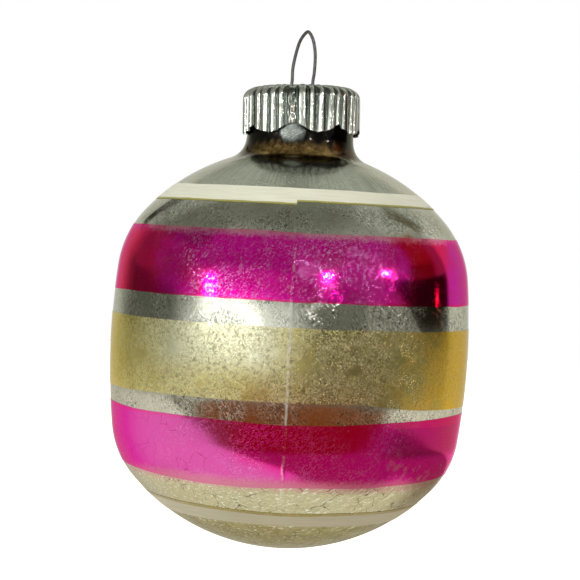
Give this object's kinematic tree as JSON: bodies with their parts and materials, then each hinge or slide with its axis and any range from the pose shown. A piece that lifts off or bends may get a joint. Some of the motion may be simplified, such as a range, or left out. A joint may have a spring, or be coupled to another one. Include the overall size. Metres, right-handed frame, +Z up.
{
  "type": "glass ball ornament",
  "caption": "Silvered blown-glass tree ornament with painted bands, a fluted metal cap that lifts and a wire hanging loop.",
  "frame": {"origin": "on the ball's axis, level with the inside top of the wire hanging loop", "axes": "+Z up along the ball's axis, +X to the right across the wire loop, -Y the front shown in the picture"},
  "size_m": [0.06, 0.06, 0.0866],
  "materials": {
    "glass": "thin clear blown glass, polished",
    "silvering": "aged silvering seen through the glass",
    "cream_paint": "thin cream paint, slightly chalky",
    "magenta_lacquer": "clear magenta lacquer over silver",
    "gold_lacquer": "clear gold lacquer over silver",
    "ochre_paint": "thin ochre paint line",
    "cap_metal": "bright fluted sheet",
    "wire": "dark drawn wire"
  },
  "bodies": {
    "hanger": {"hanger_wire": "wire"},
    "cap": {"ornament_cap": "cap_metal"},
    "ball": {"glass_envelope": "glass", "silver_lining": "silvering", "upper_white_stripe": "cream_paint", "upper_magenta_band": "magenta_lacquer", "gold_band": "gold_lacquer", "lower_magenta_band": "magenta_lacquer", "ochre_line": "ochre_paint", "lower_white_stripe": "cream_paint"}
  },
  "joints": [
    {"name": "cap_lift", "type": "slide", "parent": "hanger", "child": "cap", "axis": [0, 0, 1], "range_m": [0, 0.006]},
    {"name": "ball_turn", "type": "hinge", "parent": "hanger", "child": "ball", "pos_m": [0, 0, 0], "axis": [0, 0, 1], "continuous": true}
  ]
}
